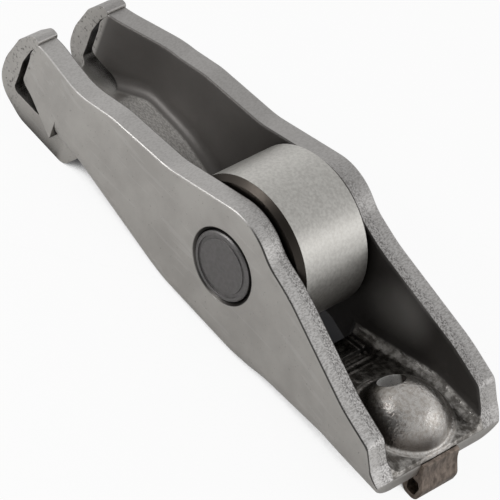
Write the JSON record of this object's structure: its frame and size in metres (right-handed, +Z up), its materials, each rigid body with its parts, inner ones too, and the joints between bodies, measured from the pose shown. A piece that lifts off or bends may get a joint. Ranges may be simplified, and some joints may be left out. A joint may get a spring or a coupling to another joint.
{
  "type": "roller finger follower rocker arm",
  "caption": "Sheet steel roller rocker arm with a domed adjuster seat, cam roller on needles, forked valve pad and spring clip.",
  "frame": {"origin": "middle of the cam roller on its axle", "axes": "+X along the arm to the adjuster seat, +Y along the roller axle, +Z up to the camshaft"},
  "size_m": [0.063, 0.0181, 0.018],
  "materials": {
    "body_steel": "satin, case hardened",
    "axle_steel": "dark satin",
    "roller_steel": "ground",
    "needle_steel": "polished",
    "spring_steel": "oiled dark spring steel"
  },
  "bodies": {
    "arm": {"channel_body": "body_steel", "axle_pin": "axle_steel", "retaining_clip": "spring_steel"},
    "cam_roller": {"roller": "roller_steel"},
    "needle_ring": {"needle_01": "needle_steel", "needle_02": "needle_steel", "needle_03": "needle_steel", "needle_04": "needle_steel", "needle_05": "needle_steel", "needle_06": "needle_steel", "needle_07": "needle_steel", "needle_08": "needle_steel", "needle_09": "needle_steel", "needle_10": "needle_steel", "needle_11": "needle_steel", "needle_12": "needle_steel", "needle_13": "needle_steel", "needle_14": "needle_steel", "needle_15": "needle_steel", "needle_16": "needle_steel", "needle_17": "needle_steel"}
  },
  "joints": [
    {"name": "roller_spin", "type": "hinge", "parent": "arm", "child": "cam_roller", "pos_m": [0, 0, 0], "axis": [0, 1, 0], "continuous": true},
    {"name": "needle_orbit", "type": "hinge", "parent": "arm", "child": "needle_ring", "pos_m": [0, 0, 0], "axis": [0, 1, 0], "continuous": true}
  ],
  "couplings": [
    {"joint": "needle_orbit", "follows": "roller_spin", "ratio": 0.5887}
  ]
}
